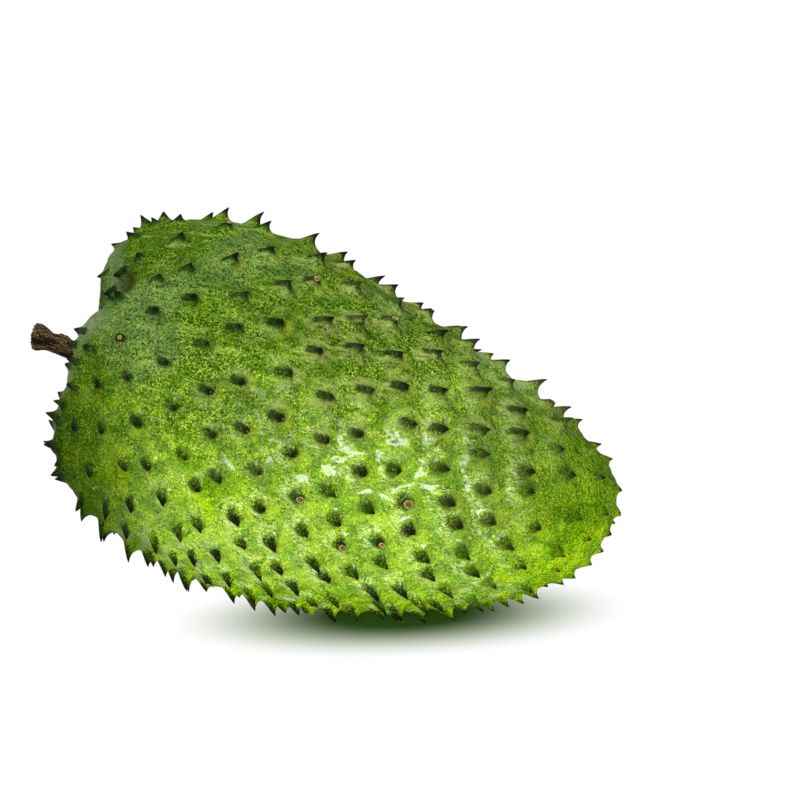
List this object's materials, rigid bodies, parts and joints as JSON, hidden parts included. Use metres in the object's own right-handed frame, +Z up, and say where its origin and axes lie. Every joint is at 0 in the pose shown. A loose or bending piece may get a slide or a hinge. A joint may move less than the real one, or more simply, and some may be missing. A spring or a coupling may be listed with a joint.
{
  "type": "soursop fruit",
  "caption": "Whole spiny green soursop lying on its side, an egg-shaped fruit with hooked soft spines, a woody stem stub and a small dried calyx.",
  "frame": {"origin": "middle of the flat spot on the belly that the fruit rests on, below its centre of mass", "axes": "+X along the fruit from the stem end to the blossom end, the long axis rising 14 degrees toward the stem; +Y to the back; +Z up"},
  "size_m": [0.2582, 0.147, 0.162],
  "materials": {
    "skin": "waxy green skin, satin to glossy, speckled yellow-green, dark brown spine tips",
    "bark": "dry dark brown bark with tan streaks, matte",
    "calyx": "dried sepals, almost black brown, matte"
  },
  "bodies": {
    "root": {"fruit": "skin", "stem": "bark", "calyx": "calyx"}
  },
  "joints": []
}
